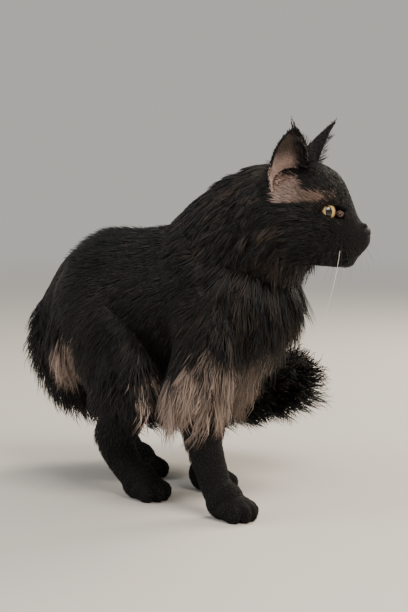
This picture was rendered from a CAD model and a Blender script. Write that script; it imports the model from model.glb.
# %% [markdown]
# # A black smoke maine coon cat
#
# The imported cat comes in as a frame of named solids, in metres, heading along +X with its left side
# at +Y. Each later step lays something finer over it: a skin of one piece, the coat in tufts, eyes,
# nose and whiskers. The box of the solids is kept from here, to compare with the finished cat.

# %% Load the frame
import math

import bmesh
import bpy
import numpy as np
from mathutils import Matrix, Vector
from mathutils.bvhtree import BVHTree
from mathutils.kdtree import KDTree


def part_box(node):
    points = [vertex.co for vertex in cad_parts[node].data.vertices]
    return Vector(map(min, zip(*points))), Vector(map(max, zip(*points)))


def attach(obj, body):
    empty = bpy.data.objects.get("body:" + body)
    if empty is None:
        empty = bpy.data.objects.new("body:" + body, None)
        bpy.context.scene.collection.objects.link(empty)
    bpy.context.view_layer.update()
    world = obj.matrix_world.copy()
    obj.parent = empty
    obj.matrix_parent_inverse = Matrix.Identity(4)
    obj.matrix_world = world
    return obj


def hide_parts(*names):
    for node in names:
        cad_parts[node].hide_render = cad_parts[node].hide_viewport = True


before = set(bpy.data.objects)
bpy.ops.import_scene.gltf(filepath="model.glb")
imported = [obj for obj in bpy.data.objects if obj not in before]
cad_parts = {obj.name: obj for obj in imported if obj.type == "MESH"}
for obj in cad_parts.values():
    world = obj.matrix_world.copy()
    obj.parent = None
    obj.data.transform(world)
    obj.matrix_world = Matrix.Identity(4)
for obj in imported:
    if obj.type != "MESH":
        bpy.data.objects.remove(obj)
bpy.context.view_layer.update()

MM = 0.001
RIGHT = -1
LEFT = 1
BOTH = (RIGHT, LEFT)
print("the frame's nodes:", sorted(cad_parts))

# %% [markdown]
# ## Where the drawing starts
#
# The forms below are drawn from a point between the cat's feet, while the frame is centred on its
# own box. One piece that both know, the right eye, gives the way from one to the other. It could be
# typed in as a number, but then it would go stale with every change to the solids.

# %% The head's place and the shift
HEAD_AT = Vector((0.165, 0.015, 0.342))
HEAD_TURN = math.radians(20.0)
HEAD_ROLL = math.radians(4.0)
EYE_RADIUS = 12.0 * MM
EYE_AT = (18.5 * MM, 23.0 * MM, -5.0 * MM)
GAZE_OUT = math.radians(31)
GAZE_UP = math.radians(4)


def head_matrix():
    return (Matrix.Translation(HEAD_AT) @ Matrix.Rotation(HEAD_TURN, 4, "Z")
            @ Matrix.Rotation(HEAD_ROLL, 4, "X"))


def eye_frame(side):
    """Places the eye's own frame, which looks along +X, in the head's frame."""
    x, y, z = EYE_AT
    return (Matrix.Translation((x, y * side, z)) @ Matrix.Rotation(GAZE_OUT * side, 4, "Z")
            @ Matrix.Rotation(-GAZE_UP, 4, "Y"))


low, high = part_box("eye_right")
eye_middle = (head_matrix() @ eye_frame(RIGHT)).translation
SHIFT = (low + high) / 2 - eye_middle
SHIFT.z = 0.0
print("shift from the drawing to the frame:", [round(c, 4) for c in SHIFT])

# %% [markdown]
# ## Camera
#
# The photograph looks from the cat's right and a little from in front, from about the height of its
# head. The angle, distance and lens were worked out from the spread of its feet and the turn of the
# head. The picture is 408 by 612, so the tall side sets the field of view.

# %% Camera
PICTURE_TALL = 612
FOCAL_PIXELS = 1566
HORIZON_ABOVE_MIDDLE = 155
SENSOR_TALL = 36.0
AZIMUTH = math.radians(40.0)
DISTANCE = 1.8
CAMERA_HEIGHT = 0.40
ASIDE = 0.016
PITCH = math.atan(HORIZON_ABOVE_MIDDLE / FOCAL_PIXELS)
across = Vector((math.cos(AZIMUTH), math.sin(AZIMUTH), 0.0))
towards_camera = Vector((math.sin(AZIMUTH), -math.cos(AZIMUTH), 0.0))

lens = bpy.data.cameras.new("photo_view")
lens.sensor_fit = "VERTICAL"
lens.sensor_height = SENSOR_TALL
lens.sensor_width = SENSOR_TALL * 2 / 3
lens.lens = SENSOR_TALL * FOCAL_PIXELS / PICTURE_TALL
camera = bpy.data.objects.new("photo_view", lens)
camera.location = across * ASIDE + towards_camera * DISTANCE + SHIFT
camera.location.z = CAMERA_HEIGHT
camera.rotation_euler = (math.pi / 2 - PITCH, 0.0, AZIMUTH)
bpy.context.scene.collection.objects.link(camera)
bpy.context.scene.camera = camera
print("camera at", [round(c, 3) for c in camera.location])

# %% [markdown]
# ## Tools for smooth animal forms
#
# An animal has no flat faces, so each part starts as a loft through a few oval sections or as a
# ball. The crossing forms are then wrapped in one skin: a voxel remesh, like clay pressed together,
# followed by smoothing. Sculpting by hand would do as well, but code gives the same cat each time.

# %% Lofts, balls and the fused skin


def mesh_from(bm, name):
    mesh = bpy.data.meshes.new(name)
    bm.to_mesh(mesh)
    bm.free()
    return mesh


def new_object(name, data):
    made = bpy.data.objects.new(name, data)
    bpy.context.scene.collection.objects.link(made)
    return made


def read(items, what, wide, kind=float):
    """One value of each of a mesh's points, corners or triangles, as rows of an array."""
    values = np.empty(len(items) * wide, kind)
    items.foreach_get(what, values)
    return values.reshape(-1, wide)


def smooth_stations(stations, steps):
    """A smooth curve through rows of numbers: Catmull-Rom, with `steps` stretches between rows."""
    rows = np.array(stations, float)
    rows = np.vstack([2 * rows[0] - rows[1], rows, 2 * rows[-1] - rows[-2]])
    out = []
    for i in range(1, len(rows) - 2):
        a, b, c, d = rows[i - 1:i + 3]
        for t in np.arange(steps) / steps:
            out.append(0.5 * (2 * b + (c - a) * t + (2 * a - 5 * b + 4 * c - d) * t**2
                              + (3 * b - a - 3 * c + d) * t**3))
    out.append(rows[-2])
    return np.array(out)


def skin_rings(bm, rings):
    """Faces between rings of vertices, with both ends closed."""
    for one, two in zip(rings, rings[1:]):
        for k in range(len(one)):
            after = (k + 1) % len(one)
            bm.faces.new((one[k], one[after], two[after], two[k]))
    bm.faces.new(rings[0][::-1])
    bm.faces.new(rings[-1])
    bmesh.ops.recalc_face_normals(bm, faces=bm.faces)
    return bm


def loft(stations, steps=4, sides=28, hint=(0.0, 1.0, 0.0)):
    """A closed form through ellipses. A station is x, y, z, half its width and half its height."""
    rows = smooth_stations(stations, steps)
    ways = np.gradient(rows[:, :3], axis=0)
    bm = bmesh.new()
    rings = []
    for way, row in zip(ways, rows):
        way = Vector(way).normalized()
        side = (Vector(hint) - way * Vector(hint).dot(way)).normalized()
        rise = side.cross(way)
        ring = []
        for k in range(sides):
            angle = 2 * math.pi * k / sides
            aside, up = side * row[3] * math.cos(angle), rise * row[4] * math.sin(angle)
            ring.append(bm.verts.new(Vector(row[:3]) + aside - up))
        rings.append(ring)
    return skin_rings(bm, rings)


def moved(bm, place):
    bmesh.ops.transform(bm, matrix=place, verts=bm.verts)
    return bm


def ball(centre, radii, turn=(0.0, 0.0, 0.0), segments=28, rings=18):
    bm = bmesh.new()
    bmesh.ops.create_uvsphere(bm, u_segments=segments, v_segments=rings, radius=1.0)
    spin = (Matrix.Rotation(turn[2], 3, "Z") @ Matrix.Rotation(turn[1], 3, "Y")
            @ Matrix.Rotation(turn[0], 3, "X"))
    return moved(bm, Matrix.LocRotScale(Vector(centre), spin, Vector(radii)))


def joined(pieces):
    whole = bmesh.new()
    for piece in pieces:
        mesh = mesh_from(piece, "piece")
        whole.from_mesh(mesh)
        bpy.data.meshes.remove(mesh)
    return whole


def applied(obj):
    """Bakes an object's modifiers into its mesh."""
    graph = bpy.context.evaluated_depsgraph_get()
    mesh = bpy.data.meshes.new_from_object(obj.evaluated_get(graph))
    old = obj.data
    obj.modifiers.clear()
    obj.data = mesh
    bpy.data.meshes.remove(old)
    return obj


def fused(name, pieces, voxel, rounds):
    """One smooth skin round all the pieces."""
    obj = new_object(name, mesh_from(joined(pieces), name))
    remesh = obj.modifiers.new("Remesh", "REMESH")
    remesh.mode = "VOXEL"
    remesh.voxel_size = voxel
    smooth = obj.modifiers.new("Smooth", "SMOOTH")
    smooth.factor = 0.5
    smooth.iterations = rounds
    return applied(obj)


def cut_with(obj, bm, operation="DIFFERENCE"):
    cutter = new_object("cutter", mesh_from(bm, "cutter"))
    cut = obj.modifiers.new("Cut", "BOOLEAN")
    cut.operation = operation
    cut.object = cutter
    cut.solver = "MANIFOLD"
    applied(obj)
    bpy.data.objects.remove(cutter, do_unlink=True)
    return obj


# %% [markdown]
# ## The body's forms
#
# Rump, back, belly and chest come from one row of sections, and the legs from rows of their own,
# because a cat's leg bends at elbow, wrist, knee and hock. These are the same sizes as the solids',
# less the depth of the short coat, so that the tufts end where the solids' surface is.

# %% Sizes of torso, neck and legs
COAT_DEPTH = 2.0 * MM
NAPE_DEPTH = 5.0 * MM


def metres(rows):
    """The tables are in millimetres."""
    return (np.array(rows) * MM).tolist()


TORSO = metres([
    (-224, 215, 196, 14), (-208, 240, 176, 30), (-180, 268, 160, 46), (-147, 291, 152, 60),
    (-110, 304, 150, 70), (-70, 306, 152, 76), (-30, 311, 152, 78), (10, 322, 150, 78),
    (50, 327, 150, 74), (85, 318, 158, 66), (112, 292, 176, 52), (130, 258, 205, 30),
])
NECK = metres([
    (15, 0, 258, 60, 66), (54, 0, 290, 62, 68), (94, 1, 318, 58, 65), (130, 6, 330, 52, 59),
    (152, 10, 334, 44, 50),
])
LEGS = {
    "foreleg_right": metres([
        (40, 50, 250, 26, 48), (68, 55, 205, 28, 42), (66, 60, 165, 26, 34),
        (64, 62, 130, 23, 27), (72, 63, 85, 20, 22), (86, 64, 48, 19, 20), (96, 64, 26, 19, 19),
    ]),
    "foreleg_left": metres([
        (20, 50, 250, 26, 48), (36, 54, 205, 28, 42), (18, 56, 165, 26, 34), (0, 52, 130, 23, 27),
        (-6, 45, 85, 20, 22), (-8, 39, 48, 19, 20), (-4, 36, 26, 19, 19),
    ]),
    "hindleg_right": metres([
        (-142, 36, 256, 22, 48), (-110, 50, 220, 30, 64), (-70, 60, 178, 30, 56),
        (-46, 63, 138, 27, 44), (-53, 60, 98, 23, 32), (-68, 55, 66, 21, 25),
        (-60, 51, 44, 19, 22), (-46, 49, 26, 19, 19),
    ]),
    "hindleg_left": metres([
        (-152, 36, 256, 22, 48), (-130, 50, 220, 30, 64), (-108, 58, 178, 30, 56),
        (-106, 60, 138, 27, 44), (-136, 54, 98, 23, 30), (-160, 49, 66, 20, 24),
        (-150, 46, 44, 19, 21), (-132, 45, 26, 19, 19),
    ]),
}
PAWS = {
    "forepaw_right": (0.106, 0.064, 0.0, RIGHT), "forepaw_left": (-0.002, 0.035, 0.05, LEFT),
    "hindpaw_right": (-0.034, 0.048, 0.0, RIGHT), "hindpaw_left": (-0.120, 0.045, 0.05, LEFT),
}
TAIL = metres([
    (-186, 0, 236, 22), (-208, 1, 204, 22), (-220, 10, 158, 20), (-222, 44, 112, 17),
    (-198, 100, 92, 17), (-148, 142, 90, 17), (-88, 160, 98, 17), (-26, 163, 112, 15),
    (18, 158, 124, 9), (42, 153, 132, 2),
])
PLUME = metres([12, 20, 26, 26, 27, 28, 31, 35, 31, 12])
TAIL_CORE = 0.30
MUSCLES = [
    ((-0.108, -0.122), 0.218, (0.060, 0.030, 0.070), 28),
    ((0.048, 0.024), 0.240, (0.042, 0.030, 0.076), -14),
]
PAW_LENGTH = 0.048
PAW_BACK = (0.0225, 0.0192, 0.0225)
PAW_FRONT = (0.0215, 0.0192 + 0.002, 0.0155)
TOE = (0.0122, 0.0062, 0.0118)

# %% Forms of the body


def leg_loft(stations, side):
    return loft([(x, side * y, z, w - COAT_DEPTH, d - COAT_DEPTH) for x, y, z, w, d in stations])


def body_forms():
    """Torso, neck, legs, then haunches and shoulders, and the tail."""
    depth = COAT_DEPTH
    torso = [(x, 0.0, (top + low) / 2, wide - depth, (top - low) / 2 - depth)
             for x, top, low, wide in TORSO]
    neck = [(x, y, z, w - depth, d - NAPE_DEPTH) for x, y, z, w, d in NECK]
    pieces = [loft(torso, sides=32), loft(neck, sides=32)]
    for name, stations in LEGS.items():
        pieces.append(leg_loft(stations, RIGHT if name.endswith("right") else LEFT))
    for places, z, radii, lean in MUSCLES:
        for x, side in zip(places, BOTH):
            pieces.append(ball((x, side * 0.046, z), radii, (0, math.radians(lean), 0)))
    tail = [(x, y, z, wide + TAIL_CORE * hair, wide + TAIL_CORE * hair)
            for (x, y, z, wide), hair in zip(TAIL, PLUME)]
    pieces.append(loft(tail, sides=20, hint=(0.3, 0.2, 1.0)))
    return pieces


def paw_forms(name):
    """A paw: its body, the part above the toes, four toes in an arc and the end of the leg."""
    x, y, turn, side = PAWS[name]
    forward = Vector((math.cos(turn), math.sin(turn), 0.0))
    aside = Vector((-forward.y, forward.x, 0.0))
    heel = Vector((x, side * y, 0.0))
    up = Vector((0, 0, 1))
    pieces = [
        ball(heel - forward * 0.002 + up * 0.0195, PAW_BACK, (0, 0, turn)),
        ball(heel + forward * 0.012 + up * 0.0125, PAW_FRONT, (0, 0, turn)),
    ]
    for place in (-1.5, -0.5, 0.5, 1.5):
        fore = PAW_LENGTH - 0.020 - 0.0042 * abs(place)**1.6
        spot = heel + forward * fore + aside * 0.0098 * place + up * 0.0095
        pieces.append(ball(spot, TOE, (0, 0, turn + 0.12 * place), 20, 14))
    pieces.append(leg_loft(LEGS[name.replace("paw", "leg")][-3:], side))
    return pieces


BODY_VOXEL = 3.6 * MM
PAW_VOXEL = 1.8 * MM
PAD_HEIGHT = 0.4 * MM
body = fused("body", body_forms(), BODY_VOXEL, 10)
paws = [fused(name, paw_forms(name), PAW_VOXEL, 4) for name in PAWS]
for paw in paws:
    for vertex in paw.data.vertices:
        vertex.co.z = max(vertex.co.z, PAD_HEIGHT)
print("body faces:", len(body.data.polygons))
print("paw faces:", [len(paw.data.polygons) for paw in paws])

# %% [markdown]
# ## The head
#
# A maine coon's muzzle is square, with a clear stop below the forehead, high cheekbones and a firm
# chin. The skull is a loft of squarish sections, and balls stand for cheeks, whisker pads, brows
# and chin. Lids, the mouth and the bed of the nose are cut afterwards, because a remesh would melt
# them.

# %% Sizes of the head
HEAD_SECTIONS = [
    (-66, 43, -72, 51, 0.00, 2.0), (-54, 44, -69, 53, 0.00, 2.1), (-40, 45, -67, 53, 0.02, 2.3),
    (-20, 46, -66, 52, 0.04, 2.4), (-5, 45, -65, 51, 0.06, 2.4), (8, 43, -65, 48, 0.08, 2.3),
    (18, 38, -66, 43, 0.08, 2.2), (27, 31, -67, 36, 0.08, 2.1), (34, 21, -67, 29, 0.16, 2.0),
    (40, 8, -65, 25, 0.28, 2.1), (44, -3, -62, 23.5, 0.34, 2.2), (48, -12, -57, 22, 0.36, 2.3),
    (53, -19, -52, 19.5, 0.34, 2.4), (58, -24, -46, 14, 0.25, 2.4), (60.5, -28, -41, 8, 0.15, 2.2),
]
HEAD_MIDDLE = [((35, 0, -58), (12, 12.5, 9.5)), ((53, 0, -24), (8, 7.5, 6))]
HEAD_PAIRS = [
    ((-4, 31, -26), (33, 23, 29)), ((44, 10, -41.5), (14, 12, 11.5)), ((15, 23, 8), (18, 15, 12)),
    ((14, 28, -19), (22, 16, 14)), ((30, 14, -32), (16, 14, 14)),
]
NOSE_AT = (57.0, 0.0, -29.5)
NOSE_RADII = (5.5, 8.5, 6.5)
HEAD_VOXEL = 1.7 * MM
FACE_COAT = 1.0

# %% Head forms


def head_loft(sides=48):
    rows = smooth_stations(HEAD_SECTIONS, 4)
    bm = bmesh.new()
    rings = []
    for x, top, low, wide, pear, square in rows:
        wide -= FACE_COAT
        tall = (top - low) / 2 - FACE_COAT
        ring = []
        for k in range(sides):
            angle = 2 * math.pi * k / sides
            c, s = math.cos(angle), math.sin(angle)
            y = math.copysign(abs(c)**(2 / square), c) * wide * (1 - pear * s)
            z = (top + low) / 2 + math.copysign(abs(s)**(2 / square), s) * tall
            ring.append(bm.verts.new((x * MM, y * MM, z * MM)))
        rings.append(ring)
    return skin_rings(bm, rings)


def head_forms():
    pieces = [head_loft()]
    for centre, radii in HEAD_MIDDLE:
        pieces.append(ball([MM * c for c in centre], [MM * (r - FACE_COAT) for r in radii]))
    for side in BOTH:
        for (x, y, z), radii in HEAD_PAIRS:
            radii = [MM * (r - FACE_COAT) for r in radii]
            pieces.append(ball([MM * x, MM * y * side, MM * z], radii))
    return pieces


head = fused("head_skin", head_forms(), HEAD_VOXEL, 7)
print("head faces:", len(head.data.polygons))

# %% [markdown]
# ## Lids, mouth and nose bed
#
# Each lid is a shell round the eyeball with an almond cut out of it. The corner towards the nose is
# lower than the outer one and drawn out to a point, as on any cat. The mouth is a fine groove laid
# round the muzzle on the surface itself.

# %% Cut the face's details
LID_WIDTH = math.radians(58)
LID_RISE = math.radians(34)
LID_DROP = math.radians(31)
LID_THICKNESS = 1.3 * MM
EYE_GAP = 0.25 * MM
MOUTH_GROOVE = 0.9 * MM
MOUTH_STEPS = 18
MOUTH_STEP_ANGLE = math.radians(4.6)


def eye_ball(side, radius, segments=48, rings=32):
    bm = ball((0, 0, 0), (radius,) * 3, (0.0, math.pi / 2, 0.0), segments, rings)
    return moved(bm, eye_frame(side))


def eye_opening(side, reach=24 * MM, points=48):
    """A cone from the ball's middle whose mouth is the almond between the lids."""
    bm = bmesh.new()
    apex = bm.verts.new((0.0, 0.0, 0.0))
    rim = []
    for k in range(points):
        angle = 2 * math.pi * k / points
        out = LID_WIDTH * math.cos(angle)
        lift = LID_RISE if math.sin(angle) > 0 else LID_DROP
        up = lift * math.copysign(abs(math.sin(angle))**1.15, math.sin(angle)) + 0.14 * out
        spot = Vector((math.cos(out), side * math.sin(out), 0)) * math.cos(up)
        spot.z = math.sin(up)
        rim.append(bm.verts.new(spot * reach))
    for k in range(points):
        bm.faces.new((apex, rim[k], rim[(k + 1) % points]))
    bm.faces.new(rim)
    bmesh.ops.recalc_face_normals(bm, faces=bm.faces)
    return moved(bm, eye_frame(side))


def nose_form(grow=0.0, segments=40, rings=28):
    return ball([MM * c for c in NOSE_AT], [MM * r + grow for r in NOSE_RADII],
                segments=segments, rings=rings)


def mouth_path(on):
    """The line of the mouth on the head's surface, from one corner round the front to the other."""
    tree = BVHTree.FromObject(on, bpy.context.evaluated_depsgraph_get())
    middle = Vector((24, 0, 0)) * MM
    points = []
    for step in range(-MOUTH_STEPS, MOUTH_STEPS + 1):
        angle = MOUTH_STEP_ANGLE * step
        side = abs(step) / MOUTH_STEPS
        height = -48.5 - 3.5 * math.sin(math.pi * min(1.0, side * 1.25)) - 4.0 * side**1.5
        way = Vector((math.cos(angle), math.sin(angle), 0.0))
        far = middle + way * 0.09 + Vector((0, 0, height * MM))
        points.append(tree.ray_cast(far, -way)[0])
    return points


def groove(points, radius, sides=8):
    stations = [(p.x, p.y, p.z, radius, radius) for p in points]
    return loft(stations, steps=1, sides=sides, hint=(0.1, 0.2, 1.0))


def in_order(obj):
    """Sorts points and faces by place, because the cuts leave them in a new order each run."""
    mesh = obj.data
    co = read(mesh.vertices, "co", 3)
    order = np.lexsort(np.round(co, 6).T)
    rank = np.empty(len(order), int)
    rank[order] = np.arange(len(order))
    faces = [rank[list(face.vertices)].tolist() for face in mesh.polygons]
    faces = sorted(face[k:] + face[:k] for face in faces for k in [face.index(min(face))])
    mesh.clear_geometry()
    mesh.from_pydata(co[order].tolist(), [], faces)


mouth = mouth_path(head)
for side in BOTH:
    cut_with(head, eye_ball(side, EYE_RADIUS + LID_THICKNESS), "UNION")
    cut_with(head, eye_opening(side))
    cut_with(head, eye_ball(side, EYE_RADIUS + EYE_GAP))
cut_with(head, groove(mouth, MOUTH_GROOVE))
lip = mouth[len(mouth) // 2]
nose_middle = Vector(NOSE_AT) * MM
philtrum = [lip, lip.lerp(nose_middle, 0.5) + Vector((0.002, 0, 0)), nose_middle]
cut_with(head, groove(philtrum, MOUTH_GROOVE))
cut_with(head, nose_form(0.2 * MM))
in_order(head)
print("head faces after the cuts:", len(head.data.polygons))

# %% [markdown]
# ## Ears
#
# Each ear is a sheet between a front and a rear edge that meet at the tip, hollowed towards the
# back of the head like a hand held to the ear. Solidify gives it thickness. The left ear is swung
# forward a little, because the cat listens ahead.

# %% Ears
EAR_HOLLOW = 20
EAR_THICKNESS = 2.0 * MM
EAR_BACK = Vector((-0.755, -0.655, 0.0))
EAR_FRONT = {
    RIGHT: ((-3, 18, 33), (8, 26, 62), (-6, 45, 86)),
    LEFT: ((-3, 18, 33), (0, 24, 60), (12, 45, 86)),
}
EAR_REAR = {
    RIGHT: ((-27, 41, 3), (-44, 55, 30), (-30, 53, 74), (-6, 45, 86)),
    LEFT: ((-27, 41, 3), (-48, 57, 30), (-12, 52, 68), (12, 45, 86)),
}


def ear_spot(side, u, v):
    """A place on an ear's sheet, in millimetres: u from the front edge to the rear, v upwards."""
    w = 1 - v
    front = [Vector(spot) for spot in EAR_FRONT[side]]
    rear = [Vector(spot) for spot in EAR_REAR[side]]
    near = front[0] * w**2 + front[1] * 2 * w * v + front[2] * v**2
    far = rear[0] * w**3 + rear[1] * 3 * w**2 * v + rear[2] * 3 * w * v**2 + rear[3] * v**3
    hollow = EAR_HOLLOW * w**0.75 * math.sin(math.pi * u)**0.8
    spot = near * (1 - u) + far * u + EAR_BACK * hollow
    return Vector((spot.x, spot.y * side, spot.z))


def ear_sheet(side, across_count=18, along_count=22):
    """One ear as an open sheet in the head's frame, from its sunk root to its tip."""
    bm = bmesh.new()
    grid = []
    for j in range(along_count):
        v = (j / along_count)**0.85
        row = [ear_spot(side, i / across_count, v) * MM for i in range(across_count + 1)]
        grid.append([bm.verts.new(spot) for spot in row])
    point = bm.verts.new(ear_spot(side, 0.0, 1.0) * MM)
    for one, two in zip(grid, grid[1:]):
        for i in range(across_count):
            bm.faces.new((one[i], one[i + 1], two[i + 1], two[i]))
    for i in range(across_count):
        bm.faces.new((grid[-1][i], grid[-1][i + 1], point))
    if side == RIGHT:
        bmesh.ops.reverse_faces(bm, faces=bm.faces)
    return bm


ears = []
for side in BOTH:
    ear = new_object("ear_skin", mesh_from(ear_sheet(side), "ear_skin"))
    solid = ear.modifiers.new("Solidify", "SOLIDIFY")
    solid.thickness = EAR_THICKNESS
    solid.offset = 0.0
    ears.append(applied(ear))
print("ear faces:", [len(ear.data.polygons) for ear in ears])

# %% [markdown]
# ## One skin
#
# All these surfaces become one object, the skin, which replaces every node of flesh. Where a point
# came from decides what hair grows on it, so the skin is read as arrays first: places, normals, and
# the part's number. Numpy arrays are used from here on, because tens of thousands of tufts are too
# many for loops.

# %% Gather the skin
BODY, PAW, HEAD, EAR = range(4)
HEAD_PLACE = head_matrix()


def mesh_arrays(obj):
    """Corner places and corner normals of each triangle of an object."""
    mesh = obj.data
    mesh.calc_loop_triangles()
    corners = read(mesh.loop_triangles, "vertices", 3, np.int32)
    return read(mesh.vertices, "co", 3)[corners], read(mesh.vertices, "normal", 3)[corners]


def tree_of(obj):
    bm = bmesh.new()
    bm.from_mesh(obj.data)
    tree = BVHTree.FromBMesh(bm)
    bm.free()
    return tree


for piece in [head] + ears:
    piece.data.transform(HEAD_PLACE)
shells = [(body, BODY), *((paw, PAW) for paw in paws), (head, HEAD), *((ear, EAR) for ear in ears)]
trees = [tree_of(obj) for obj, _ in shells]
print("skin shells:", len(shells))

# %% [markdown]
# ## Where each kind of hair grows
#
# A coat is a map: how long the hair is, which way it lies, how far it stands off and what colour it
# has. Each is a smooth function of place. A painted mask would do the same, but a function needs no
# image and can be read. On this cat the ruff, chest, belly fringe, breeches and tail are long, and
# the face, ears and feet are short.

# %% Helpers for the coat's map
draw = np.random.default_rng(20)


def smoothstep(low, high, value):
    t = np.clip((value - low) / (high - low), 0.0, 1.0)
    return t * t * (3 - 2 * t)


def zone(p, **spans):
    """1 within a stretch, 0 outside it. A span's numbers, in pairs, say where it is 0 and 1."""
    share = np.ones(len(p))
    for axis, ends in spans.items():
        for low, high in zip(ends[::2], ends[1::2]):
            share = share * smoothstep(low, high, p[:, "xyz".index(axis)])
    return share


def unit(v):
    return v / np.maximum(np.linalg.norm(v, axis=-1, keepdims=True), 1e-9)


def flat_on(v, normal):
    """The part of each direction that lies along the skin."""
    return unit(v - normal * np.sum(v * normal, axis=1, keepdims=True))


def blended(a, b, share):
    share = np.asarray(share)[:, None]
    return a * (1 - share) + b * share


def ways(x, y, z):
    """A direction for each place, from rows of numbers and plain numbers."""
    return np.stack(np.broadcast_arrays(x, y, z), axis=1)


def ripple(p, size, seed=0.0):
    """A slow, smooth waver between -1 and 1, about `size` metres across."""
    k = 2 * math.pi / size
    x, y, z = p.T
    return (np.sin(k * x + 1.7 * np.sin(0.61 * k * y + seed)) * np.cos(0.83 * k * z + 2.1 + seed)
            + np.sin(0.57 * k * (x + y) - 0.9 * k * z + 3 * seed)) / 2


tail_path = smooth_stations([(*row, hair) for row, hair in zip(TAIL, PLUME)], 10)
tail_way = unit(np.gradient(tail_path[:, :3], axis=0))


def near_tail(p):
    """How far each point is outside the tail's core, and the way, hair and place there."""
    distance = np.linalg.norm(p[:, None, :] - tail_path[None, :, :3], axis=2)
    index = distance.argmin(axis=1)
    radius = tail_path[index, 3] + TAIL_CORE * tail_path[index, 4]
    return distance[np.arange(len(p)), index] - radius, tail_way[index], tail_path[index, 4], index


def on_tail(p):
    out, _, _, index = near_tail(p)
    return (out < 5 * MM) & (index > 8)


# %% The body's map: length, lie and lift
LEG_TOP = 0.146


def body_map(p, n):
    """Length, lie, lift and share of long hair, zone by zone from the flanks on."""
    x, y, z = p.T
    _, way, hair, index = near_tail(p)
    is_tail = on_tail(p)
    side = np.sign(y)

    down = zone(p, z=(0.28, 0.17))
    rear = zone(p, x=(-0.115, -0.140), z=(0.18, 0.22))
    hump = zone(p, x=(0.02, -0.04), z=(0.25, 0.28)) * zone(n, z=(0.3, 0.7)) * (1 - rear)
    length = (19 + 7 * down + 9 * hump - 5 * rear) * MM
    lie = ways(-1.0 + 0.55 * down, 0.05 * side, -0.22 - 0.85 * down)
    lie = blended(lie, np.array([-0.5, 0.0, -0.8]), zone(p, x=(-0.15, -0.20)))
    lift = 0.13 + 0.17 * hump - 0.07 * rear

    neck = smoothstep(-0.020, 0.100, x + 0.5 * (z - 0.29)) * zone(p, z=(0.245, 0.275))
    throat = zone(n, z=(0.1, -0.7))
    length += neck * (15 * MM + 17 * MM * throat - length * 0.2)
    lie = blended(lie, ways(-0.72, 0.0, -0.66 - 0.5 * throat), neck)
    lift += 0.12 * neck * throat - 0.01 * neck * (1 - throat)

    chest = zone(p, x=(0.075, 0.115), z=(0.30, 0.26))
    length += chest * 26 * MM
    lie = blended(lie, ways(-0.05, 0.05 * side, -1.0), chest)
    lift += 0.06 * chest

    fringe = zone(p, x=(-0.085, -0.045, 0.135, 0.105), z=(0.205, 0.160, 0.118, 0.134)) * ~is_tail
    length += fringe * (34 + 12 * zone(p, x=(-0.02, 0.015, 0.08, 0.045))) * MM
    lie = blended(lie, ways(-0.25, 0.04 * side, -1.0), fringe)
    lift += 0.05 * fringe

    leg = ((z < LEG_TOP) & ~is_tail) * zone(p, z=(0.150, 0.128))
    short = 7 + 6 * zone(p, z=(0.03, 0.13)) + 9 * zone(n, x=(-0.2, -0.8)) * zone(p, z=(0.045, 0.09))
    length = length * (1 - leg) + leg * short * MM
    lie = blended(lie, np.array([-0.18, 0.0, -1.0]), leg)
    lift = lift * (1 - leg) + leg * 0.16

    breeches = zone(p, x=(-0.115, -0.145), z=(0.095, 0.12, 0.235, 0.195)) * ~is_tail
    breeches *= zone(n, x=(-0.1, -0.5))
    length += breeches * 26 * MM
    lie = blended(lie, ways(-0.24, 0.3 * side, -1.1), breeches)
    lift += 0.24 * breeches

    last = smoothstep(0.72, 0.95, index / len(tail_path))
    length = np.where(is_tail, 12 * MM + (1.05 + 0.15 * last) * hair, length)
    lie = np.where(is_tail[:, None], way + ways(0.0, 0.0, 0.55 * last - 0.08), lie)
    lift = np.where(is_tail, 0.44 + 0.34 * last, lift)
    long_hair = np.maximum.reduce([0.8 * neck, chest, fringe, breeches, is_tail * 1.0])
    return length, lie, lift, np.clip(long_hair, 0, 1)


# %% The head's map, in the head's own frame and millimetres


def head_map(q):
    side = np.sign(q[:, 1])
    from_nose = q - np.array([61.0, 0.0, -30.0])
    r = np.linalg.norm(from_nose, axis=1)
    length = 2.0 + 3.4 * smoothstep(14, 42, r) + 6.0 * smoothstep(40, 80, r)
    cheek = zone(q, x=(8, -26), z=(12, -14))
    nape = zone(q, x=(-24, -44))
    chin = zone(q, x=(58, 20), z=(-54, -64))
    length += 18 * cheek + 12 * nape * (1 - cheek) + 4 * chin
    lie = unit(from_nose) + ways(0.0, 0.25 * side * cheek, -0.55 * cheek - 0.3 * chin)
    lie[:, 0] -= 0.4 * zone(q, z=(20, 45))
    lie[:, 2] -= 1.1 * nape
    lift = 0.11 + 0.05 * smoothstep(20, 60, r) + 0.14 * cheek - 0.07 * zone(q, z=(15, 40))
    return length * MM, lie, lift, np.clip(cheek + nape, 0, 1)


def ear_places(q):
    """For places near the ears: u from the front edge to the rear one, v from root to tip."""
    found = np.zeros((len(q), 2))
    for side in BOTH:
        marks = [(u, v) for u in np.linspace(0, 1, 41) for v in np.linspace(0, 1, 61)]
        tree = KDTree(len(marks))
        for k, (u, v) in enumerate(marks):
            tree.insert(ear_spot(side, u, v), k)
        tree.balance()
        for i in np.flatnonzero(np.sign(q[:, 1]) == side):
            found[i] = marks[tree.find(q[i])[1]]
    return found.T


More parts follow.
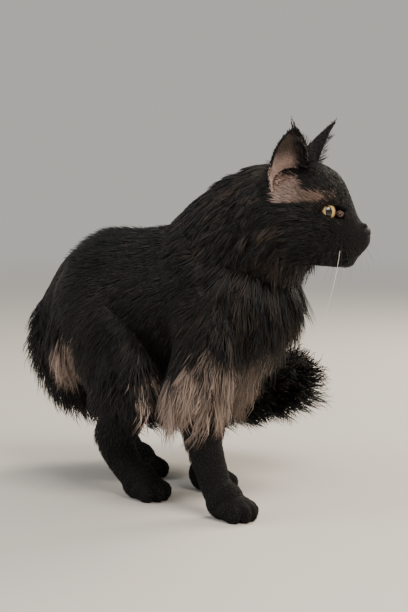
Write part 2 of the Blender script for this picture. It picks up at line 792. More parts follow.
def ear_map(q, n):
    """Short on the back, longer from the front edge across the opening, a wisp at the tip."""
    side = np.sign(q[:, 1])
    u, v = ear_places(q)
    inside = -n[:, 0] * EAR_BACK.x - n[:, 1] * EAR_BACK.y * side > 0.15
    rim = np.clip(smoothstep(0.16, 0.05, u) + smoothstep(0.90, 0.96, u) * smoothstep(0.30, 0.50, v)
                  + smoothstep(0.80, 0.90, v), 0, 1)
    front = smoothstep(0.30, 0.04, u) * smoothstep(0.03, 0.15, v) * smoothstep(0.80, 0.62, v)
    tip = smoothstep(0.93, 0.98, v)
    length = np.where(inside, 4 + 12 * front, 3.0)
    over = inside * front * (1 - tip)
    lie = blended(ways(-0.22, 0.1 * side, 1.0), ways(-0.15, 0.8 * side, 0.5), over)
    lift = np.where(inside, 0.12 + 0.30 * front, 0.07) * (1 - tip)
    return length * MM, lie, lift, inside * (1 - rim), tip, u, v


# %% [markdown]
# ## The coat's colours
#
# A smoke cat's hair is black at its tip and pale at its root. The pale part shows where the hair is
# long and parts: the lower edge of the belly, the breeches, the throat. The insides of the ears and
# the thin hair between ear and eye are pale brown. The choice is made tuft by tuft, so the border
# is ragged, as on the cat.

# %% Colours
BLACK_TIP, BLACK_ROOT, BROWN_TIP, SMOKE_ROOT, SMOKE_TIP = np.array([
    (0.0044, 0.0045, 0.0053), (0.0058, 0.0055, 0.0058), (0.046, 0.034, 0.027),
    (0.150, 0.112, 0.095), (0.400, 0.305, 0.255),
])
EAR_PALE, EAR_BROWN, EAR_DARK, TEMPLE, THROAT, EYE_CORNER = np.array([
    (0.38, 0.275, 0.24), (0.075, 0.055, 0.047), (0.022, 0.018, 0.017),
    (0.185, 0.125, 0.100), (0.135, 0.092, 0.078), (0.19, 0.115, 0.095),
])


def throat_share(p):
    return zone(p, x=(0.135, 0.160), z=(0.225, 0.245, 0.310, 0.285))


def body_pale(p):
    """How likely a tuft on the body is a pale one."""
    x, y, z = p.T
    border = 0.167 + 0.36 * np.clip(x - 0.045, 0, 0.2) + 7 * MM * ripple(p, 0.045)
    border += 7 * MM * smoothstep(0.08, 0.13, x)
    start = -0.030 + 0.020 * smoothstep(0.030, 0.050, np.abs(y))
    belly = zone(p, x=(0.185, 0.160), z=(0.128, 0.142))
    belly *= smoothstep(0.014, -0.012, z - border) * smoothstep(-0.012, 0.012, x - start)
    top = 0.187 + np.where(y > 0, 9, 4) * MM * ripple(p, 0.030, 4.0) - 9 * MM * (y > 0)
    breeches = zone(p, x=(-0.098, -0.114, -0.208, -0.194), z=(0.092, 0.104))
    breeches *= smoothstep(0.010, -0.010, z - top) * smoothstep(0.012, 0.022, np.abs(y))
    breeches *= np.where(y > 0, 0.55, 1.0)
    return np.clip(belly + breeches + 0.35 * throat_share(p), 0, 1) * ~on_tail(p)


def temple_share(q):
    """The thin-haired band from the ear's root to above the eye."""
    x, y, z = q.T
    middle = 10.5 + 3.0 * smoothstep(-2, -20, x) + 5.5 * smoothstep(20, 38, x)
    above = 5.5 + 17 * smoothstep(8, -5, x) - 2.0 * smoothstep(10, 36, x)
    below = 6.0 + 1.5 * smoothstep(0, -20, x) - 2.5 * smoothstep(10, 36, x)
    ragged = 1.2 * ripple(q * MM, 0.007)
    gap = np.where(z > middle, (z - middle) / above, (middle - z) / below) + 0.15 * ragged
    over_eye = smoothstep(6, 3, np.abs(x - 33)) * smoothstep(6, 3, np.abs(z - 16))
    fade = np.clip(smoothstep(34, 16, x) + 0.5 * over_eye, 0, 1)
    span = smoothstep(-30, -25, x) * fade * smoothstep(18, 26, np.abs(y))
    return smoothstep(1.15, 0.75, gap) * span


def head_pale(q):
    return np.clip(temple_share(q) + 0.30 * zone(q, x=(10, -15), z=(-55, -66)), 0, 1)


def ear_colour(u, v):
    """Pale and pinkish low in the cup, brown towards the tip, dark along the front edge."""
    tone = blended(np.tile(EAR_PALE, (len(u), 1)), EAR_BROWN, smoothstep(0.34, 0.62, v))
    shade = smoothstep(0.30, 0.10, u) * smoothstep(0.16, 0.40, v)
    return blended(tone, EAR_DARK, 0.85 * shade)


print("the coat's map is ready")

# %% [markdown]
# ## Scatter the roots
#
# Roots are scattered triangle by triangle, so that they're even without being in rows. Hair isn't
# set where one surface is inside another, on the lids, in the mouth or under the nose leather.

# %% Scatter
DENSITY = {BODY: 0.25, PAW: 0.22, HEAD: 0.60, EAR: 0.60}
TAIL_SHARE = 0.75
LEG_SHARE = 0.72


def scatter(corners, normals, per_mm2):
    """Random places on triangles, at most a few to each, with smooth normals."""
    first, second, third = corners.transpose(1, 0, 2)
    size = np.linalg.norm(np.cross(second - first, third - first), axis=1) / 2
    wanted = size / MM**2 * per_mm2
    count = np.floor(wanted + draw.random(len(wanted))).astype(int)
    which = np.repeat(np.arange(len(wanted)), count)
    a, b = draw.random(len(which)), draw.random(len(which))
    over = a + b > 1
    a[over], b[over] = 1 - a[over], 1 - b[over]
    weights = np.stack([1 - a - b, a, b], axis=1)[:, :, None]
    return (corners[which] * weights).sum(axis=1), unit((normals[which] * weights).sum(axis=1))


def hidden(p, own):
    """True where a point lies inside one of the other shells."""
    inside = np.zeros(len(p), bool)
    for number, tree in enumerate(trees):
        if number == own or shells[number][1] == EAR:
            continue
        box = np.array(shells[number][0].bound_box)
        close = np.all((p > box.min(axis=0) - 2 * MM) & (p < box.max(axis=0) + 2 * MM), axis=1)
        for i in np.flatnonzero(close & ~inside):
            point = Vector(p[i])
            near, out = tree.find_nearest(point)[:2]
            inside[i] = (point - near).dot(out) < -0.2 * MM
    return inside


to_head = np.array(HEAD_PLACE.inverted())
turn_head = np.array(HEAD_PLACE)[:3, :3]


def in_head_mm(p):
    return (p @ to_head[:3, :3].T + to_head[:3, 3]) / MM


def bare_on_face(q):
    """Lids, mouth line and nose bed carry no tufts."""
    bare = np.zeros(len(q), bool)
    x, y, z = EYE_AT
    for side in BOTH:
        middle = np.array([x, y * side, z]) / MM
        bare |= np.linalg.norm(q - middle, axis=1) < EYE_RADIUS / MM + 1.1
    nose = (q - np.array(NOSE_AT)) / (np.array(NOSE_RADII) + 0.8)
    bare |= np.linalg.norm(nose, axis=1) < 1.0
    line = np.array([list(p) for p in mouth]) / MM
    gap = np.linalg.norm(q[:, None, :] - line[None], axis=2).min(axis=1)
    bare |= gap < 1.3
    return bare


roots = []
for number, (obj, part) in enumerate(shells):
    corners, normals = mesh_arrays(obj)
    per_mm2 = np.full(len(corners), DENSITY[part])
    if part == BODY:
        middle = corners.mean(axis=1)
        legs = np.where(middle[:, 2] < 0.14, LEG_SHARE, 1.0)
        per_mm2 *= np.where(on_tail(middle), TAIL_SHARE, legs)
    p, n = scatter(corners, normals, per_mm2)
    keep = ~hidden(p, number)
    if part == HEAD:
        keep &= ~bare_on_face(in_head_mm(p))
    if part == PAW:
        keep &= (p[:, 2] > 2.5 * MM) & (n[:, 2] > -0.6)
    p, n = p[keep], n[keep]
    roots.append((p, n, np.full(len(p), part)))
    print("roots on", obj.name, len(p))
place, normal, part_of = (np.concatenate(rows) for rows in zip(*roots))

# %% [markdown]
# ## Length, lie and colour of each tuft

# %% Read the map at each root
count = len(place)
length, lift, long_hair, pale, at_tip = np.zeros((5, count))
lie = np.zeros((count, 3))
pale_colour = np.tile(SMOKE_ROOT, (count, 1))
pale_tip = np.tile(SMOKE_TIP, (count, 1))

here = part_of == BODY
p = place[here]
length[here], lie[here], lift[here], long_hair[here] = body_map(p, normal[here])
pale[here] = body_pale(p)
warm = throat_share(p)
low = np.maximum(zone(p, z=(0.20, 0.14)), zone(p, x=(-0.09, -0.11)))[:, None]
pale_colour[here] = blended(SMOKE_ROOT * (0.7 + 0.7 * low), THROAT * 0.6, warm)
pale_tip[here] = blended(SMOKE_TIP * (0.6 + 0.65 * low), THROAT, warm)

here = part_of == PAW
length[here] = 4.2 * MM
lie[here] = np.array([0.55, 0.0, -0.9])
lift[here] = 0.10

here = part_of == HEAD
q = in_head_mm(place[here])
length[here], local, lift[here], long_hair[here] = head_map(q)
lie[here] = local @ turn_head.T
pale[here] = head_pale(q)
pale_colour[here] = blended(np.tile(TEMPLE, (len(q), 1)), EAR_PALE, zone(q, x=(6, -12), z=(0, 12)))
pale_tip[here] = pale_colour[here] * 0.9

here = part_of == EAR
q = in_head_mm(place[here])
length[here], local, lift[here], inside, at_tip[here], u, v = ear_map(q, normal[here] @ turn_head)
lie[here] = local @ turn_head.T
pale[here] = np.maximum(inside, 0.5 * at_tip[here])
pale_colour[here] = ear_colour(u, v)
pale_tip[here] = pale_colour[here] * 0.9

lie = flat_on(lie + 0.10 * draw.normal(size=(count, 3)), normal)
sway = 0.22 * ripple(place, 0.045, 1.0) + 0.12 * ripple(place, 0.02, 2.0)
lie = unit(lie + np.cross(normal, lie) * sway[:, None])
print("tufts:", count)

# %% [markdown]
# ## Clumps
#
# Long hair doesn't fall hair by hair: it gathers into locks. A few tufts are chosen as leaders, and
# each other tuft's tip leans towards its leader's tip. Without this step the fringe looks like a
# brush.

# %% Sort the tufts into clumps
LONG = long_hair > 0.35
CLUMP_SIZE = {"short": 5.0 * MM, "long": 8.0 * MM}
leader = np.arange(count)
for kind, chosen in (("long", LONG), ("short", ~LONG)):
    index = np.flatnonzero(chosen)
    order = draw.permutation(index)
    cells = {}
    for i in order:
        key = tuple(np.floor(place[i] / CLUMP_SIZE[kind]).astype(int))
        cells.setdefault(key, i)
    leaders = np.array(sorted(cells.values()))
    tree = KDTree(len(leaders))
    for k, i in enumerate(leaders):
        tree.insert(place[i], k)
    tree.balance()
    leader[index] = [leaders[tree.find(place[i])[1]] for i in index]
    print(kind, "hair:", len(index), "tufts in", len(leaders), "clumps")


def by_clump(low, high):
    """A random number for each tuft that is the same all through its clump."""
    return draw.uniform(low, high, count)[leader]


long_share = by_clump(0.72, 1.20) * draw.uniform(0.66, 1.18, count)
length *= np.where(LONG, long_share, draw.uniform(0.80, 1.15, count))
is_tail = (part_of == BODY) & on_tail(place)
lift *= np.where(LONG & ~is_tail, by_clump(0.45, 1.6), by_clump(0.8, 1.25))
lift *= draw.uniform(0.75, 1.3, count)
lie = flat_on(lie + np.cross(normal, lie) * (by_clump(-0.16, 0.16) * (0.4 + LONG))[:, None], normal)
chance = np.where(LONG, 0.7 * by_clump(0, 1) + 0.3 * draw.random(count), draw.random(count))
is_pale = chance < pale
in_front = (part_of == HEAD) * long_hair + (part_of == BODY) * zone(place, x=(0.05, 0.09))
share = (0.20 + 0.20 * ripple(place, 0.09, 3.0) + 0.20 * in_front) * zone(place, z=(0.08, 0.12))
is_brown = by_clump(0, 1) * 0.6 + 0.4 * draw.random(count) < share
shade_of = np.where(LONG, by_clump(0.5, 1.35), by_clump(0.8, 1.2)) * draw.uniform(0.85, 1.15, count)

# %% Curves of the tufts
MOST_STEPS = 5
STEPS = np.where(LONG | (at_tip > 0.3), 4, 3)
GRAVITY = np.array([0.0, 0.0, -1.0])
CLUMP_PULL = np.where(is_tail, 0.30, np.where(LONG, 0.50, 0.20))
WAVE = (4.0 + 3.0 * zone(place, z=(0.18, 0.15))) * MM
WAVE_AT_LENGTH = 0.04


def tuft_curves(p, n, lie, lift, length, droop):
    """Places along each tuft, from its root to its tip."""
    start = unit(lie + n * lift[:, None] * 1.6)
    end = unit(lie + n * lift[:, None] * 0.45 + GRAVITY * droop[:, None])
    t = np.linspace(0, 1, MOST_STEPS)[None, :, None]
    reach = length[:, None, None]
    return p[:, None, :] + reach * (t * start[:, None, :] + t * t / 2 * (end - start)[:, None, :])


curve = tuft_curves(place, normal, lie, lift, length, 0.06 + 0.5 * long_hair)
along = np.linspace(0, 1, MOST_STEPS)
same_way = np.sum(normal * normal[leader], axis=1) > 0.5
pull = CLUMP_PULL * same_way * draw.uniform(0.5, 1.1, count)
curve += (curve[leader] - curve) * (pull[:, None] * along**1.4)[:, :, None]
aside = np.cross(normal, lie)
phase = by_clump(0, 2 * math.pi) + draw.normal(0, 0.5, count)
size = WAVE * LONG * length / WAVE_AT_LENGTH
bend = np.sin(phase[:, None] + 4.2 * along) * along * size[:, None]
curve += bend[:, :, None] * aside[:, None, :]
TIP_HAIRS = {RIGHT: (0.40, Vector((-6, -1, 13)) * MM), LEFT: (0.15, Vector((3, 0, 6)) * MM)}
for side, (share, reach) in TIP_HAIRS.items():
    top = np.array(HEAD_PLACE @ (ear_spot(side, 0.0, 1.0) * MM + reach))
    chosen = (at_tip > 0.3) & (in_head_mm(place)[:, 1] * side > 0) & (draw.random(count) < share)
    many = int(chosen.sum())
    target = top + draw.normal(0, 1.2 * MM, (many, 3))
    far = along[None, :, None] * draw.uniform(0.45, 1.0, (many, 1, 1))
    curve[chosen] = place[chosen][:, None] * (1 - far) + target[:, None] * far
widest = place[:, 1].min() - 14 * MM
curve[:, :, 1] -= 0.6 * np.minimum(curve[:, :, 1] - widest, 0)
curve[:, :, 2] = np.maximum(curve[:, :, 2], 0.8 * MM)
print("mean length mm:", round(length.mean() / MM, 1), "pale:", int(is_pale.sum()))

# %% [markdown]
# ## The skin as one piece
#
# The shells are joined into one object. It gets an unwrap of its own shape, named OFBake, and the
# coat's colours at each point, so that where the hair parts the skin shows the same markings.

# %% Join and unwrap the skin
bpy.ops.object.select_all(action="DESELECT")
for obj, part in shells:
    mark = obj.data.attributes.new("part", "INT", "POINT")
    mark.data.foreach_set("value", np.full(len(obj.data.vertices), part, np.int32))
    obj.select_set(True)
skin = shells[0][0]
bpy.context.view_layer.objects.active = skin
bpy.ops.object.join()
skin.name = "cat_skin"
bpy.ops.object.mode_set(mode="EDIT")
bpy.ops.mesh.select_all(action="SELECT")
bpy.ops.uv.smart_project(angle_limit=math.radians(66), island_margin=0.001)
bpy.ops.object.mode_set(mode="OBJECT")
skin.data.uv_layers.active.name = "OFBake"
skin.data.shade_smooth()
print("skin:", len(skin.data.vertices), "points,", len(skin.data.polygons), "faces")

# %% [markdown]
# ## Colour of the skin

# %% Skin colours


def store_colours(mesh, colours):
    layer = mesh.color_attributes.new("coat_colour", "FLOAT_COLOR", "POINT")
    rgba = np.ones((len(mesh.vertices), 4), np.float32)
    rgba[:, :3] = colours
    layer.data.foreach_set("color", rgba.ravel())


def skin_colours():
    mesh = skin.data
    p, n = read(mesh.vertices, "co", 3), read(mesh.vertices, "normal", 3)
    part = read(mesh.attributes["part"].data, "value", 1, np.int32)[:, 0]
    share = np.where(part == BODY, body_pale(p), 0.0)
    tint = np.tile(SMOKE_ROOT * 0.8, (len(p), 1))
    q = in_head_mm(p)
    on_head = part == HEAD
    share[on_head] = head_pale(q[on_head])
    tint[on_head] = TEMPLE
    on_ear = part == EAR
    _, _, _, inside, _, u, v = ear_map(q[on_ear], n[on_ear] @ turn_head)
    share[on_ear] = inside
    tint[on_ear] = ear_colour(u, v) * 0.9
    share = np.clip(share, 0, 1)[:, None]
    return BLACK_ROOT * (1 - share) + tint * share


store_colours(skin.data, skin_colours())

# %% [markdown]
# ## Tufts as solid mesh
#
# Each tuft is a thin three-sided blade that tapers to a point, sunk a little into the skin. Three
# sides are the fewest that make a solid, and the ridge along the top catches the light the way a
# wisp of hair does. All tufts of one region are written straight into one mesh.

# %% Where the roots are on the unwrap
PATCH = 0.003


def skin_uv_finder():
    """For a place on the skin, the place of the nearest triangle on the unwrap."""
    mesh = skin.data
    mesh.calc_loop_triangles()
    uv = read(mesh.uv_layers["OFBake"].data, "uv", 2)
    middle = uv[read(mesh.loop_triangles, "loops", 3, np.int32)].mean(axis=1)
    faces = read(mesh.loop_triangles, "vertices", 3, np.int32)
    tree = BVHTree.FromPolygons(read(mesh.vertices, "co", 3).tolist(), faces.tolist())

    def find(spots):
        return np.array([middle[tree.find_nearest(Vector(spot))[2]] for spot in spots])
    return find


root_uv = skin_uv_finder()(place)
print("roots placed on the unwrap:", len(root_uv))

# %% Build the coat's meshes
SIDES = 3
width = np.where(is_tail, 1.35, np.where(LONG, 1.20, 1.10)) * MM
width = np.where(part_of == HEAD, 0.75 * MM + 0.4 * MM * long_hair, width)
width = np.where((part_of == PAW) | (part_of == EAR), 0.8 * MM, width)
width = np.minimum(width, 0.42 * length) * draw.uniform(0.75, 1.25, count)
blade_twist = draw.normal(0, 0.30, count)


def tuft_parts(index, steps):
    """Points, faces, patches and colours of tufts with the same number of places along them."""
    keep = np.linspace(0, MOST_STEPS - 1, steps).round().astype(int)
    path = curve[index][:, keep].copy()
    path[:, 0] -= normal[index] * 0.8 * MM
    way = unit(np.gradient(path, axis=1))
    side = unit(np.cross(way, normal[index][:, None, :]))
    rise = np.cross(side, way)
    turn = blade_twist[index][:, None, None]
    c, s = np.cos(turn), np.sin(turn)
    side, rise = side * c + rise * s, rise * c - side * s
    rings = steps - 1
    share = np.linspace(0, 1, steps)[:rings]
    taper = 0.8 + 0.5 * share - 0.85 * share**2
    wide = (width[index][:, None] * taper / 2)[:, :, None]
    base, side, rise = path[:, :rings], side[:, :rings] * wide, rise[:, :rings] * wide
    corners = np.stack([base + side, base + 0.62 * rise, base - side], axis=2)
    each = rings * SIDES + 1
    sides = corners.reshape(len(index), rings * SIDES, 3)
    points = np.concatenate([sides, path[:, -1:, :]], axis=1)
    points[:, :, 2] = np.maximum(points[:, :, 2], 0.2 * MM)
    faces = [(2, 1, 0)]
    for j in range(rings - 1):
        for k in range(SIDES):
            a, b = j * SIDES + k, j * SIDES + (k + 1) % SIDES
            faces += [(a, b, b + SIDES), (a, b + SIDES, a + SIDES)]
    last = (rings - 1) * SIDES
    faces += [(last + k, last + (k + 1) % SIDES, each - 1) for k in range(SIDES)]
    first = (np.arange(len(index)) * each)[:, None, None]
    faces = (np.array(faces)[None] + first).reshape(-1, 3)
    along = np.concatenate([np.repeat(share, SIDES), [1.0]])
    sideways = np.concatenate([np.tile([0.0, 0.5, 1.0], rings), [0.5]])
    patch = np.stack([sideways, along], axis=1) * PATCH - PATCH / 2
    uv = (root_uv[index][:, None, :] + patch[None]).reshape(-1, 2)
    t = along[None, :, None]
    is_pale_tuft = is_pale[index][:, None]
    root = np.where(is_pale_tuft, pale_colour[index], BLACK_ROOT)
    dark_tip = np.where(is_brown[index][:, None], BROWN_TIP, BLACK_TIP)
    tip = np.where(is_pale_tuft, pale_tip[index], dark_tip)
    colours = (root[:, None, :] * (1 - t) + tip[:, None, :] * t) * shade_of[index][:, None, None]
    return points.reshape(-1, 3), faces, uv, colours.reshape(-1, 3)


def tuft_mesh(name, index):
    """One mesh that holds the chosen tufts, with smooth sides, colours and the OFBake map."""
    parts = [tuft_parts(index[STEPS[index] == steps], steps) for steps in sorted(set(STEPS[index]))]
    points, faces, uv, colours = map(list, zip(*parts))
    if len(faces) > 1:
        faces[1] = faces[1] + len(points[0])
    points, faces, uv, colours = map(np.concatenate, (points, faces, uv, colours))
    points += np.array(SHIFT)
    mesh = bpy.data.meshes.new(name)
    mesh.vertices.add(len(points))
    mesh.vertices.foreach_set("co", points.astype(np.float32).ravel())
    mesh.loops.add(faces.size)
    mesh.loops.foreach_set("vertex_index", faces.astype(np.int32).ravel())
    mesh.polygons.add(len(faces))
    mesh.polygons.foreach_set("loop_start", np.arange(0, faces.size, 3, dtype=np.int32))
    mesh.polygons.foreach_set("use_smooth", np.ones(len(faces), bool))
    mesh.update(calc_edges=True)
    mesh.validate()
    layer = mesh.uv_layers.new(name="OFBake")
    layer.data.foreach_set("uv", np.clip(uv[faces.ravel()], 0, 1).astype(np.float32).ravel())
    store_colours(mesh, colours)
    return mesh


# %% [markdown]
# ## Regions of the coat

# %% Sort the tufts into regions
MOST_TRIANGLES = 190_000
x, _, z = place.T
region = np.full(count, "back_and_flanks", dtype=object)
for name, chosen in (
    ("legs", (part_of == BODY) & (z < LEG_TOP)),
    ("ruff", (part_of == BODY) & (z > 0.262) & (x > 0.062)),
    ("chest", (part_of == BODY) & (z <= 0.262) & (z >= LEG_TOP) & (x > 0.05)),
    ("belly_fringe", (part_of == BODY) & (z <= 0.215) & (z >= LEG_TOP) & (x <= 0.05) & (x > -0.09)),
    ("tail_plume", is_tail), ("feet", part_of == PAW), ("face", part_of == HEAD),
    ("ears", part_of == EAR),
):
    region[chosen] = name

tuft_triangles = (STEPS - 2) * SIDES * 2 + SIDES + 1
coats = []
for name in sorted(set(region)):
    chosen = np.flatnonzero(region == name)
    pieces = max(1, math.ceil(tuft_triangles[chosen].sum() / MOST_TRIANGLES))
    for number, index in enumerate(np.array_split(chosen[np.argsort(x[chosen])], pieces)):
        coats.append(new_object(f"coat_{name}_{number + 1}", tuft_mesh(name, index)))
print("coat pieces:", [(c.name, len(c.data.polygons)) for c in coats])
print("coat triangles:", int(tuft_triangles.sum()))
skin.data.transform(Matrix.Translation(SHIFT))

# %% [markdown]
# ## Fur material
#
# Black fur isn't a flat black: each hair is a glossy cylinder, so light runs along it in streaks. A
# rough Principled surface with a weak gloss does this, with the colour read from the tufts. A hair
# shader would be truer, but it needs hair curves, and the coat here is mesh.

# %% Fur and skin materials


def fill(node, inputs):
    """Each input is either a value or another node's output."""
    for name, value in inputs.items():
        if isinstance(value, bpy.types.NodeSocket):
            node.id_data.links.new(value, node.inputs[name])
        else:
            node.inputs[name].default_value = value


def new_material(name, inputs):
    """A Principled material, its shader and its node tree."""
    made = bpy.data.materials.new(name)
    made.use_nodes = True
    shader = made.node_tree.nodes["Principled BSDF"]
    fill(shader, inputs)
    return made, shader, made.node_tree


def add(tree, kind, output, inputs, **settings):
    """Adds a node to the tree and returns one of its outputs."""
    made = tree.nodes.new("ShaderNode" + kind)
    for name, value in settings.items():
        setattr(made, name, value)
    fill(made, inputs)
    return made.outputs[output]


def colour_ramp(tree, share, stops):
    colour = add(tree, "ValToRGB", "Color", {"Fac": share})
    marks = colour.node.color_ramp.elements
    marks[0].position, marks[0].color = stops[0]
    marks[1].position, marks[1].color = stops[-1]
    for position, tone in stops[1:-1]:
        marks.new(position).color = tone
    return colour


def dress(obj, material):
    obj.data.materials.clear()
    obj.data.materials.append(material)


def fur_material(name, roughness, gloss, streak):
    made, shader, tree = new_material(name, {"Roughness": roughness, "Specular IOR Level": gloss})
    colour = add(tree, "Attribute", "Color", {}, attribute_name="coat_colour")
    spot = add(tree, "TexCoord", "Object", {})
    noise = add(tree, "TexNoise", "Fac", {"Vector": spot, "Scale": streak, "Detail": 3.0})
    spread = add(tree, "MapRange", "Result", {"Value": noise, "To Min": 0.72, "To Max": 1.28})
    tinted = add(tree, "VectorMath", "Vector", {0: colour, "Scale": spread}, operation="SCALE")
    fine = add(tree, "TexNoise", "Fac", {"Vector": spot, "Scale": 900.0})
    bump = add(tree, "Bump", "Normal", {"Height": fine, "Strength": 0.25, "Distance": 0.6 * MM})
    fill(shader, {"Base Color": tinted, "Normal": bump})
    return made


fur = fur_material("black_smoke_fur", 0.46, 0.32, 60.0)
for coat in coats:
    dress(coat, fur)
dress(skin, fur_material("short_coat_skin", 0.75, 0.08, 90.0))
print("coat pieces with fur:", len(coats))

# %% [markdown]
# ## Eyes
#
# A cat's eye is a clear dome over a ring of gold, with an upright pupil. Here one ball carries it
# all: the iris and pupil are painted round the axis of the gaze in the eye's own coordinates, and a
# clear coat gives the wet shine. The cat glances a little to its right, towards the camera.

# %% Eyes
GLANCE = math.radians(24)
IRIS_ANGLE = math.radians(62)
PUPIL = (3.4, 1.85, 1.0)
IN_FRAME = Matrix.Translation(SHIFT) @ HEAD_PLACE
IRIS_TONES = [
    (0.00, (0.48, 0.28, 0.05, 1)), (0.32, (0.80, 0.55, 0.19, 1)), (0.62, (0.66, 0.46, 0.16, 1)),
    (0.76, (0.20, 0.13, 0.05, 1)), (0.82, (0.010, 0.008, 0.007, 1)),
    (1.0, (0.012, 0.010, 0.009, 1)),
]


def eye_material():
    made, shader, tree = new_material("gold_eye", {"Roughness": 0.14, "Coat Weight": 0.45,
                                                   "Coat Roughness": 0.03})
    place = add(tree, "Attribute", "Vector", {}, attribute_name="iris_place")
    ring = add(tree, "VectorMath", "Value", {0: place}, operation="LENGTH")
    spin = add(tree, "VectorMath", "Vector", {0: place}, operation="NORMALIZE")
    fibres = add(tree, "TexNoise", "Color", {"Vector": spin, "Scale": 7.0, "Detail": 5.0})
    gold = colour_ramp(tree, ring, IRIS_TONES)
    iris = add(tree, "Mix", 2, {0: 0.55, 6: gold, 7: fibres},
               data_type="RGBA", blend_type="MULTIPLY")
    pressed = add(tree, "VectorMath", "Vector", {0: place, 1: PUPIL}, operation="MULTIPLY")
    inner = add(tree, "VectorMath", "Value", {0: pressed}, operation="LENGTH")
    edge = add(tree, "MapRange", "Result", {"Value": inner, "From Min": 0.92, "From Max": 1.04})
    colour = add(tree, "Mix", 2, {0: edge, 6: (0.002, 0.002, 0.002, 1), 7: iris}, data_type="RGBA")
    fill(shader, {"Base Color": colour})
    return made


gold_eye = eye_material()
eyes = []
for side, name in zip(BOTH, ("right", "left")):
    mesh = mesh_from(ball((0, 0, 0), (EYE_RADIUS,) * 3, (0, math.pi / 2, 0), 64, 48), "eye_" + name)
    gaze = Matrix.Rotation(GLANCE, 4, "Z")
    painted = mesh.attributes.new("iris_place", "FLOAT_VECTOR", "POINT")
    for vertex, mark in zip(mesh.vertices, painted.data):
        way = (gaze @ vertex.co).normalized()
        off_axis = math.acos(max(-1.0, min(1.0, way.x))) / IRIS_ANGLE
        mark.vector = (*(Vector((way.y, way.z)).normalized() * off_axis), 0.0)
        vertex.co *= 1.0 + 0.045 * max(0.0, way.x - 0.72) / 0.28
    mesh.transform(IN_FRAME @ eye_frame(side))
    mesh.shade_smooth()
    mesh.materials.append(gold_eye)
    eyes.append(new_object("wet_eye_" + name, mesh))
print("eyes:", [eye.name for eye in eyes])

# %% Inner corners of the eyes
CORNER_RADII = Vector((4.8, 8.0, 3.9)) * MM
CORNER_OUT, CORNER_UP = math.radians(-45), math.radians(-13)


def corner_form(side):
    way = Vector((math.cos(CORNER_OUT), side * math.sin(CORNER_OUT), 0)) * math.cos(CORNER_UP)
    way.z = math.sin(CORNER_UP)
    bm = ball(way * (EYE_RADIUS + 3.6 * MM), CORNER_RADII, (0, 0, side * CORNER_OUT), 24, 16)
    return moved(bm, eye_frame(side))


both_corners = joined([corner_form(side) for side in BOTH])
corners = new_object("eye_corners", mesh_from(both_corners, "eye_corners"))
corners.data.transform(IN_FRAME)
corners.data.shade_smooth()
pink, shader, tree = new_material("eye_corner_pink", {
    "Roughness": 0.75, "Specular IOR Level": 0.12})
spot = add(tree, "TexCoord", "Object", {})
mottle = add(tree, "TexNoise", "Fac", {"Vector": spot, "Scale": 600.0, "Detail": 6.0})
flesh = colour_ramp(tree, mottle, [(0.46, (0.012, 0.009, 0.009, 1)), (0.64, (*EYE_CORNER, 1))])
fill(shader, {"Base Color": flesh})
dress(corners, pink)
print("eye corners:", len(corners.data.polygons), "faces")

# %% [markdown]
# ## Nose leather
#
# The nose is bare leather, finely pebbled and a little damp, with an oval nostril on each side.

# %% Nose
NOSTRIL_AT, NOSTRIL_RADII = (62.5, 4.6, -30.5), Vector((2.6, 1.9, 1.7)) * MM
leather, shader, tree = new_material("nose_leather_black", {
    "Roughness": 0.60, "Specular IOR Level": 0.22, "Base Color": (0.008, 0.007, 0.007, 1)})
spot = add(tree, "TexCoord", "Object", {})
pebbles = add(tree, "TexVoronoi", "Distance", {"Vector": spot, "Scale": 1400.0})
bump = add(tree, "Bump", "Normal", {"Height": pebbles, "Strength": 0.5, "Distance": 0.4 * MM})
fill(shader, {"Normal": bump})

nose = new_object("cat_nose", mesh_from(nose_form(), "cat_nose"))
for side in BOTH:
    x, y, z = NOSTRIL_AT
    cut_with(nose, ball(Vector((x, side * y, z)) * MM, NOSTRIL_RADII))
nose.data.transform(IN_FRAME)
nose.data.shade_smooth()
dress(nose, leather)
print("nose:", len(nose.data.polygons), "faces")

# %% [markdown]
# ## Whiskers
#
# Whiskers are stiff and springy, thickest at the root. They grow in rows from the pads beside the
# nose, sweep back and droop, and a few stand over each eye. Most are black on this cat, and one
# long one is white. Each is a thin tapered tube.

# %% Whiskers
WHISKER_STEPS = 9
BLACK_WHISKER, BROW_HAIR, WHITE_WHISKER = 0.03, 0.06, 0.85


def whisker(start, way, length, thickness, sag):
    """A tapered tube, in the head's frame and millimetres, that bends down by `sag` on its way."""
    here, way = Vector(start), Vector(way).normalized()
    stations = []
    for share in np.linspace(0, 1, WHISKER_STEPS):
        radius = thickness * (1 - 0.85 * share) / 2
        stations.append((*(here * MM), radius * MM, radius * MM))
        here = here + way * length / (WHISKER_STEPS - 1)
        way = (way + Vector((-0.035, 0, -sag / WHISKER_STEPS))).normalized()
    return loft(stations, steps=1, sides=4)


head_tree = trees[[part for _, part in shells].index(HEAD)]


def on_face(inner, target):
    """Where a line from inside the head meets its surface, in the head's frame and millimetres."""
    start, end = HEAD_PLACE @ (Vector(inner) * MM), HEAD_PLACE @ (Vector(target) * MM)
    hit = head_tree.ray_cast(start, (end - start).normalized())[0]
    return HEAD_PLACE.inverted() @ hit / MM


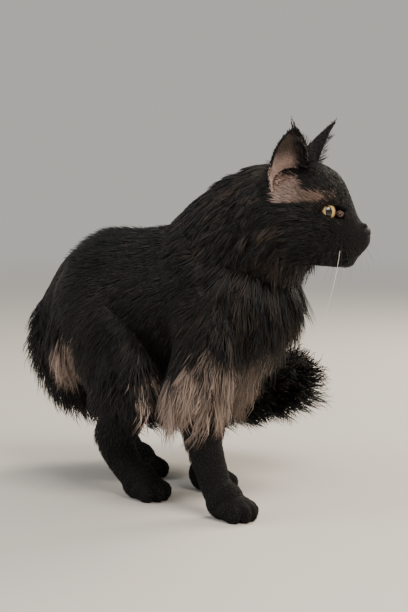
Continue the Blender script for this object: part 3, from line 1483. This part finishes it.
whisker_draw = np.random.default_rng(46)
hairs = []
for side in BOTH:
    for row in range(3):
        for k in range(4):
            x, z = 46 - 4.5 * k, -35 - 5 * row - 0.6 * k
            dip = -0.24 - 0.26 * row + whisker_draw.uniform(-0.08, 0.08)
            way = Vector((0.60 - 0.21 * k, side * 0.65, dip)).normalized()
            reach = 36 + 6 * k + whisker_draw.uniform(-3, 3)
            root = on_face((x, 0, z), (x, side * 60, z)) - way
            hairs.append((whisker(root, way, reach, 0.24, 0.55), BLACK_WHISKER))
    for k in range(3):
        x = 26 - 5 * k
        root = on_face((x, side * 19, 0), (x, side * 19, 60))
        hairs.append((whisker(root, (0.35 - 0.2 * k, side * 0.45, 1.0), 24, 0.25, 0.5), BROW_HAIR))
root = on_face((35, 0, -46), (35, -60, -46))
hairs.append((whisker(root, (-0.10, -0.22, -1.0), 96, 0.55, 0.0), WHITE_WHISKER))

tones = np.concatenate([np.full(len(bm.verts), tone) for bm, tone in hairs])
whiskers = new_object("whiskers", mesh_from(joined([bm for bm, _ in hairs]), "whiskers"))
store_colours(whiskers.data, tones[:, None] * np.array([1.0, 0.95, 0.86]))
whiskers.data.transform(IN_FRAME)
hair_finish, shader, tree = new_material("whisker_hair", {"Roughness": 0.35})
colour = add(tree, "Attribute", "Color", {}, attribute_name="coat_colour")
fill(shader, {"Base Color": colour})
dress(whiskers, hair_finish)
print("whiskers:", len(hairs))

# %% [markdown]
# ## Floor and light
#
# A plain pale floor and large soft lamps, as in a studio. A black coat shows its form only by what
# it reflects, so there are broad lamps on both sides and one behind. Far from the cat the floor
# passes into the colour of the background, so that no horizon crosses the picture.

# %% Floor
BACKGROUND = (0.80, 0.77, 0.72, 1)
BACKGROUND_STRENGTH = 0.62
FLOOR_RADIUS = 30.0
bm = bmesh.new()
bmesh.ops.create_circle(bm, cap_ends=True, segments=96, radius=FLOOR_RADIUS)
floor = new_object("studio_floor", mesh_from(bm, "studio_floor"))
floor_finish, shader, tree = new_material("pale_floor", {
    "Roughness": 0.8, "Specular IOR Level": 0.2, "Base Color": (0.60, 0.575, 0.54, 1)})
spot = add(tree, "TexCoord", "Object", {})
distance = add(tree, "VectorMath", "Value", {0: spot}, operation="LENGTH")
fade = add(tree, "MapRange", "Result", {"Value": distance, "From Min": 0.9, "From Max": 4.5},
           interpolation_type="SMOOTHSTEP")
glow = add(tree, "Emission", "Emission", {"Color": BACKGROUND, "Strength": BACKGROUND_STRENGTH})
surface = add(tree, "MixShader", "Shader", {"Fac": fade, 1: shader.outputs["BSDF"], 2: glow})
fill(tree.nodes["Material Output"], {"Surface": surface})
dress(floor, floor_finish)
print("floor radius:", FLOOR_RADIUS)

# %% Lamps and background
LAMPS = [
    ("key", (1.3, -0.5, 1.5), 42.0, 1.1, (1.0, 0.90, 0.78)),
    ("side", (-1.2, -1.5, 1.1), 20.0, 1.3, (0.97, 0.97, 1.0)),
    ("behind", (0.2, 1.8, 1.4), 60.0, 1.2, (1.0, 0.88, 0.72)),
]
LAMPS_AIM = Vector((0, 0, 0.22))
for name, where, power, size, tint in LAMPS:
    lamp = bpy.data.lights.new(name, "AREA")
    lamp.energy, lamp.size, lamp.color = power, size, tint
    holder = new_object(name, lamp)
    holder.location = where
    holder.rotation_euler = (LAMPS_AIM - Vector(where)).to_track_quat("-Z", "Y").to_euler()
world = bpy.data.worlds.new("studio")
world.use_nodes = True
fill(world.node_tree.nodes["Background"], {"Color": BACKGROUND, "Strength": BACKGROUND_STRENGTH})
bpy.context.scene.world = world
print("lamps:", len(LAMPS))

# %% [markdown]
# ## Put the pieces on the frame
#
# The cat is still, so everything rides on one body. The skin stands for all the nodes of flesh at
# once, so that no seam shows.

# %% Ride, replace and finish
FLESH = [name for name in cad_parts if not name.startswith(("eye_", "nose_"))]
for piece in [skin] + coats:
    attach(piece, "root")
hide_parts(*FLESH)
for eye, name in zip(eyes, ("eye_right", "eye_left")):
    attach(eye, "root")
    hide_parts(name)
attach(nose, "root")
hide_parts("nose_leather")
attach(whiskers, "root")
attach(corners, "root")
